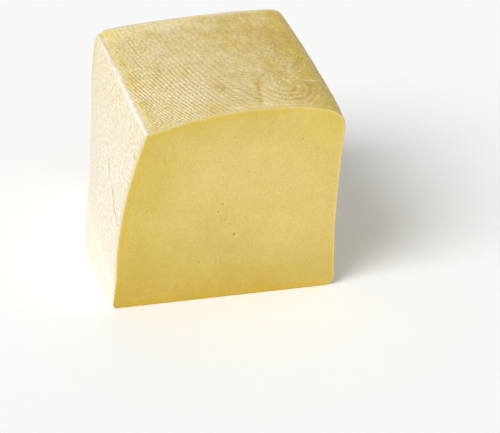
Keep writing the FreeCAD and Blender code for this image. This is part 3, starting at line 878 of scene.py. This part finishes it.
# ----------------------------------------------------------------- materials
class Nodes:
    """Short calls for building a node tree."""

    def __init__(self, tree):
        self.tree = tree

    def new(self, kind, **settings):
        node = self.tree.nodes.new(kind)
        for key, value in settings.items():
            setattr(node, key, value)
        return node

    def link(self, a, b):
        self.tree.links.new(a, b)

    def put(self, socket, value):
        if isinstance(value, bpy.types.NodeSocket):
            self.link(value, socket)
        else:
            socket.default_value = value

    def field(self, name):
        return self.new("ShaderNodeAttribute", attribute_type="GEOMETRY", attribute_name=name).outputs["Fac"]

    def math(self, operation, a, b=0.0, c=0.0, clamp_it=False):
        node = self.new("ShaderNodeMath", operation=operation, use_clamp=clamp_it)
        for socket, value in zip(node.inputs, (a, b, c)):
            self.put(socket, value)
        return node.outputs[0]

    def mix(self, share, a, b, blend="MIX"):
        node = self.new("ShaderNodeMix", data_type="RGBA", blend_type=blend, clamp_factor=True)
        self.put(node.inputs[0], share)
        self.put(node.inputs[6], a if isinstance(a, bpy.types.NodeSocket) else (*a, 1.0))
        self.put(node.inputs[7], b if isinstance(b, bpy.types.NodeSocket) else (*b, 1.0))
        return node.outputs[2]

    def noise(self, where, scale, detail=2.0, rough=0.5, distortion=0.0):
        node = self.new("ShaderNodeTexNoise", noise_dimensions="3D")
        self.link(where, node.inputs["Vector"])
        node.inputs["Scale"].default_value = scale
        node.inputs["Detail"].default_value = detail
        node.inputs["Roughness"].default_value = rough
        node.inputs["Distortion"].default_value = distortion
        return node.outputs["Fac"]

    def spread(self, value, low, high, to_low=0.0, to_high=1.0):
        node = self.new("ShaderNodeMapRange", interpolation_type="SMOOTHSTEP")
        self.link(value, node.inputs["Value"])
        for key, number in (("From Min", low), ("From Max", high), ("To Min", to_low), ("To Max", to_high)):
            node.inputs[key].default_value = number
        return node.outputs["Result"]


def start_material(name):
    material = bpy.data.materials.new(name)
    material.use_nodes = True
    tree = material.node_tree
    tree.nodes.clear()
    n = Nodes(tree)
    out = n.new("ShaderNodeOutputMaterial")
    shader = n.new("ShaderNodeBsdfPrincipled")
    n.link(shader.outputs["BSDF"], out.inputs["Surface"])
    where = n.new("ShaderNodeTexCoord").outputs["Object"]
    return material, n, shader, where


def rgb(r, g, b):
    """sRGB numbers of 0 to 255 as linear colour."""
    return tuple(c / 12.92 if c <= 0.04045 else ((c + 0.055) / 1.055) ** 2.4 for c in (r / 255, g / 255, b / 255))


def rind_material():
    material, n, shader, where = start_material("rind")
    ridge, gold, pale = n.field("ridge"), n.field("gold"), n.field("pale")
    side, stain = n.field("side"), n.field("stain")
    fine = n.noise(where, 780.0, 2.0, 0.55)
    small = n.noise(where, 300.0, 3.0, 0.6)
    cloud = n.noise(where, 62.0, 3.0, 0.55, 0.4)
    ridge = n.math("ADD", ridge, n.math("MULTIPLY", n.math("SUBTRACT", fine, 0.5), 0.45), clamp_it=True)
    top = n.mix(ridge, rgb(190, 163, 96), rgb(255, 243, 208))
    wall = n.mix(ridge, rgb(207, 194, 162), rgb(248, 242, 231))
    colour = n.mix(side, top, wall)
    gold = n.math("ADD", gold, n.math("MULTIPLY", n.math("SUBTRACT", cloud, 0.5), 0.45))
    # gold: deep yellow; on the top it also holds painted shade towards the right
    colour = n.mix(n.math("MULTIPLY", gold, 0.8, clamp_it=True), colour, (0.85, 0.74, 0.25), "MULTIPLY")
    # stains and darker marks, with painted shade in the left wall's folds
    stain = n.math("MULTIPLY", stain, n.spread(small, 0.3, 0.6, 0.7, 1.0), clamp_it=True)
    colour = n.mix(stain, colour, (0.80, 0.67, 0.30), "MULTIPLY")
    colour = n.mix(n.spread(small, 0.35, 0.72, 0.0, 0.16), colour, (0.90, 0.86, 0.74), "MULTIPLY")
    # pale: pale marks and flecks; on the bead, the seam and beside the wall's folds partly painted highlight, near the
    # back end painted light
    colour = n.mix(pale, colour, rgb(252, 248, 236))
    n.link(colour, shader.inputs["Base Color"])
    rough = n.math("ADD", n.math("MULTIPLY", small, 0.22), 0.48)
    rough = n.math("SUBTRACT", rough, n.math("MULTIPLY", gold, 0.10))
    n.link(rough, shader.inputs["Roughness"])
    shader.inputs["Specular IOR Level"].default_value = 0.32
    bump = n.new("ShaderNodeBump")
    bump.inputs["Strength"].default_value = 0.55
    bump.inputs["Distance"].default_value = 0.00012
    lift = n.math("ADD", fine, n.math("MULTIPLY", small, 0.8))
    n.link(lift, bump.inputs["Height"])
    n.link(bump.outputs["Normal"], shader.inputs["Normal"])
    return material


def paste_material():
    material, n, shader, where = start_material("paste")
    edge, low, pit, pit_rim = n.field("edge"), n.field("low"), n.field("pit"), n.field("pit_rim")
    warm = n.field("warm")
    cloud = n.noise(where, 48.0, 3.0, 0.55, 0.3)
    curd = n.noise(where, 210.0, 3.0, 0.6, 0.5)
    fine = n.noise(where, 900.0, 2.0, 0.5)
    colour = n.mix(n.spread(cloud, 0.30, 0.70), rgb(216, 192, 105), rgb(223, 200, 118))
    colour = n.mix(n.spread(curd, 0.32, 0.70, 0.0, 0.60), colour, rgb(213, 188, 98))
    colour = n.mix(n.spread(fine, 0.30, 0.70, 0.0, 0.42), colour, rgb(235, 216, 146))
    colour = n.mix(edge, colour, (1.03, 0.985, 0.66), "MULTIPLY")
    # more golden near the rind, and painted shade over the cut's left side
    colour = n.mix(warm, colour, (0.93, 0.885, 0.60), "MULTIPLY")
    # low: painted shade, darker and more golden towards the bottom of the cut
    colour = n.mix(low, colour, (0.88, 0.83, 0.60), "MULTIPLY")
    # pit_rim: painted highlight round the holes' lips, also a pale line along the cut's edge and a pale streak; pit:
    # painted shade in the holes and the scratch
    colour = n.mix(n.math("MULTIPLY", pit_rim, 0.45, clamp_it=True), colour, rgb(238, 222, 156))
    colour = n.mix(n.math("MULTIPLY", pit, 0.66, clamp_it=True), colour, rgb(182, 150, 44))
    n.link(colour, shader.inputs["Base Color"])
    rough = n.math("ADD", n.math("MULTIPLY", curd, 0.20), 0.36)
    n.link(rough, shader.inputs["Roughness"])
    shader.inputs["Specular IOR Level"].default_value = 0.38
    bump = n.new("ShaderNodeBump")
    bump.inputs["Strength"].default_value = 0.35
    bump.inputs["Distance"].default_value = 0.00008
    n.link(n.math("ADD", fine, n.math("MULTIPLY", curd, 1.2)), bump.inputs["Height"])
    n.link(bump.outputs["Normal"], shader.inputs["Normal"])
    return material


# --------------------------------------------------- fields on the end faces
cut_fields = {
    "edge": clamp(1.15 * (1.0 - smooth(1.2, 6.0, cut_rim)) * (1.0 - smooth(118.0, 136.0, cx) * (1.0 - smooth(98.0, 110.0, cz)))
                  + 0.70 * np.exp(-((cx - 130.0) / 24.0) ** 2 - ((cz - 102.0) / 15.0) ** 2)
                  + 0.10 * noise(cx / 14.0, cz / 16.0, 221)),
    # painted shade: darker and more golden towards the bottom and in a patch low in the middle
    "low": clamp(1.0 - smooth(-2.0, 54.0, cz) + 0.50 * np.exp(-((cx - 62.0) / 24.0) ** 2 - ((cz - 38.0) / 22.0) ** 2)
                 + 0.10 * noise(cx / 30.0, cz / 26.0, 222)),
    # more golden near the rind on the left and top; darker and more golden over the left side, which is painted shade
    "warm": clamp(np.maximum((1.0 - smooth(0.0, 62.0, cx - 4.0)) * (0.55 + 0.45 * smooth(2.5, 8.0, cut_rim)),
                             (0.85 - 0.85 * smooth(2.0, 30.0, cut_rim)) * (1.0 - 0.75 * smooth(88.0, 120.0, cx)))
                  + 0.45 * np.exp(-((cx - 26.0) / 16.0) ** 2 - ((cz - 90.0) / 15.0) ** 2)
                  + 0.12 * layered(cx / 24.0, cz / 22.0, 223, 2)),
    "pit": clamp(pit),
    "pit_rim": clamp(pit_rim + 0.85 * bell(cut_rim - 0.2, 0.8) * smooth(3.0, 12.0, cz)),
}
end_blend = smooth(0.0, 9.0, end_rim)
rim_fields = {name: values[-1] for name, values in
              {"ridge": ridge, "gold": gold, "pale": pale, "side": side_tone, "stain": stain}.items()}


def from_rim(name, inner):
    """An end-face field that starts from the ring's value at the rim."""
    mean = float(rim_fields[name].mean())
    out = mean + (inner - mean) * end_blend
    out = np.array(out)
    set_rim(out, rim_fields[name], True)
    return out


end_fields = {
    "ridge": from_rim("ridge", clamp(0.5 + 0.46 * end_clear * (end_weave - 0.45) * end_in + 0.16 * end_grain)),
    "gold": from_rim("gold", clamp(0.34 + 0.18 * layered(ex / 17.0, ez / 19.0, 231, 3))),
    "pale": from_rim("pale", 0.0 * ex),
    "side": from_rim("side", 0.45 + 0.0 * ex),
    "stain": from_rim("stain", clamp(0.25 * smooth(0.35, 0.9, layered(ex / 11.0, ez / 13.0, 232, 2)))),
}
ring_fields = {"ridge": ridge, "gold": gold, "pale": pale, "side": side_tone, "stain": stain}


def side_of(values, start, cells):
    closed = np.concatenate([values, values[:, :1]], 1)
    return closed[:, start:start + cells + 1]


rind, paste_look = rind_material(), paste_material()


def rind_side(start, cells, coarse, stride=1):
    return slab(side_of(ring_out, start, cells), side_of(ring_n, start, cells),
                {f: side_of(v, start, cells) for f, v in ring_fields.items()}, COARSE_V, coarse, stride)


finish_mesh("rind_left", rind_side(C_LEFT, NS, COARSE_S), rind)
finish_mesh("rind_top", rind_side(C_TOP, NT, COARSE_T), rind)
finish_mesh("rind_right", rind_side(C_RIGHT, NS, COARSE_S), rind)
finish_mesh("rind_base", rind_side(C_BASE, NT, COARSE_T, 2), rind)
finish_mesh("rind_end", slab(end, end_n, end_fields, COARSE_S, (NT - COARSE_T)[::-1]), rind)
finish_mesh("paste", paste(), paste_look)

# ------------------------------------------------------------ studio setting
def floor():
    mesh = bpy.data.meshes.new("floor")
    r, n = 14.0, 96
    z = node_lo.z - 0.0002
    verts = [(0.0, 0.0, z)] + [(r * math.cos(2 * math.pi * i / n), r * math.sin(2 * math.pi * i / n), z) for i in range(n)]
    mesh.from_pydata(verts, [], [(0, 1 + i, 1 + (i + 1) % n) for i in range(n)])
    obj = bpy.data.objects.new("floor", mesh)
    bpy.context.scene.collection.objects.link(obj)
    material, nodes, shader, where = start_material("floor")
    tone = nodes.noise(where, 3.0, 2.0)
    nodes.link(nodes.mix(tone, (0.955, 0.955, 0.95), (0.965, 0.965, 0.96)), shader.inputs["Base Color"])
    shader.inputs["Roughness"].default_value = 0.85
    shader.inputs["Specular IOR Level"].default_value = 0.1
    mesh.materials.append(material)


def soft_sun(name, towards, strength, spread):
    light = bpy.data.lights.new(name, "SUN")
    light.energy, light.angle = strength, math.radians(spread)
    obj = bpy.data.objects.new(name, light)
    obj.rotation_euler = Vector(towards).to_track_quat("Z", "Y").to_euler()
    obj.location = Vector(towards)
    bpy.context.scene.collection.objects.link(obj)


def surroundings(zenith, horizon):
    world = bpy.data.worlds.new("studio")
    bpy.context.scene.world = world
    world.use_nodes = True
    world.node_tree.nodes.clear()
    n = Nodes(world.node_tree)
    out = n.new("ShaderNodeOutputWorld")
    glow = n.new("ShaderNodeBackground")
    axes = n.new("ShaderNodeSeparateXYZ")
    n.link(n.new("ShaderNodeTexCoord").outputs["Generated"], axes.inputs[0])
    up = n.spread(axes.outputs["Z"], 0.02, 0.62)
    n.link(n.mix(up, horizon, zenith), glow.inputs["Color"])
    n.link(glow.outputs[0], out.inputs["Surface"])


floor()
soft_sun("key", (-1.50, -0.90, 1.65), 2.25, 40.0)
surroundings((0.47, 0.47, 0.47), (0.66, 0.66, 0.66))

# the view: from the front left and above, with a long lens
AZIMUTH, ELEVATION, DISTANCE, LENS = -0.24213045542038938, 0.4389667235741993, 1487.937, 180.0
look_at = Vector(place([[82.0840, 0.0, 51.5735]])[0])
away = Vector((math.sin(AZIMUTH) * math.cos(ELEVATION), -math.cos(AZIMUTH) * math.cos(ELEVATION), math.sin(ELEVATION)))
camera_data = bpy.data.cameras.new("camera")
camera_data.lens, camera_data.sensor_width, camera_data.sensor_fit = LENS, 36.0, "HORIZONTAL"
camera_data.clip_start, camera_data.clip_end = 0.05, 60.0
camera = bpy.data.objects.new("camera", camera_data)
camera.location = look_at + away * (DISTANCE / 1000.0)
camera.rotation_euler = (-away).to_track_quat("-Z", "Y").to_euler()
bpy.context.scene.collection.objects.link(camera)
bpy.context.scene.camera = camera
bpy.context.scene.view_settings.view_transform = "Standard"
